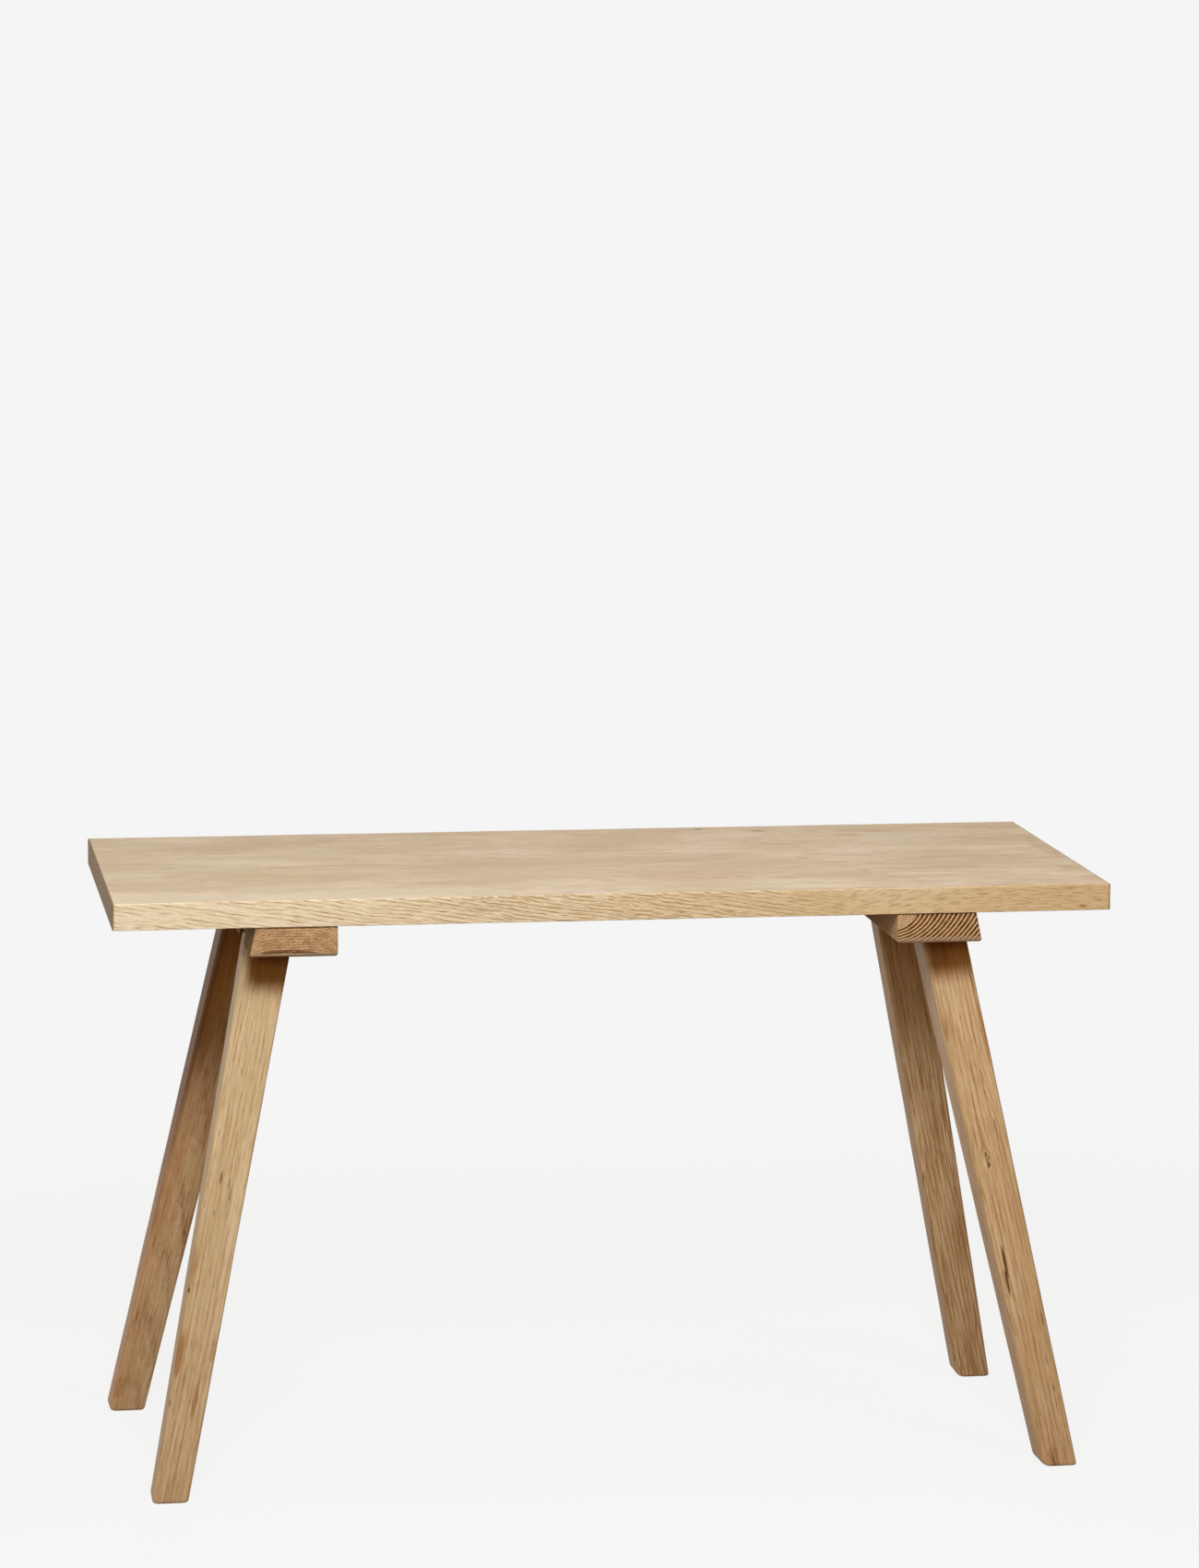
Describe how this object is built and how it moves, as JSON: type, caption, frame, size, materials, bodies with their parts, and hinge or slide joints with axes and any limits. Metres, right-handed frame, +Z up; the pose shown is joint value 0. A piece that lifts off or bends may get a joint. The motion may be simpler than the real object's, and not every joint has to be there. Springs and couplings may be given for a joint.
{
  "type": "bench",
  "caption": "Small wooden bench: a plank seat on two flat crossbars, carried by splayed, tapered square legs housed in the crossbars.",
  "frame": {"origin": "on the floor, below the middle of the seat", "axes": "+X along the seat's length, to the picture's right; -Y towards the picture's front; +Z up"},
  "size_m": [0.74, 0.295, 0.45],
  "materials": {
    "oak_seat": "oiled, pale, figured",
    "oak_leg": "oiled, tan",
    "oak_crossbar": "oiled, brown",
    "steel_screw": "plain"
  },
  "bodies": {
    "root": {"seat": "oak_seat", "crossbar_left": "oak_crossbar", "crossbar_right": "oak_crossbar", "leg_front_left": "oak_leg", "leg_front_right": "oak_leg", "leg_rear_left": "oak_leg", "leg_rear_right": "oak_leg", "leg_screw_front_left_1": "steel_screw", "leg_screw_front_left_2": "steel_screw", "leg_screw_front_right_1": "steel_screw", "leg_screw_front_right_2": "steel_screw", "leg_screw_rear_left_1": "steel_screw", "leg_screw_rear_left_2": "steel_screw", "leg_screw_rear_right_1": "steel_screw", "leg_screw_rear_right_2": "steel_screw", "seat_screw_front_left": "steel_screw", "seat_screw_middle_left": "steel_screw", "seat_screw_rear_left": "steel_screw", "seat_screw_front_right": "steel_screw", "seat_screw_middle_right": "steel_screw", "seat_screw_rear_right": "steel_screw"}
  },
  "joints": []
}
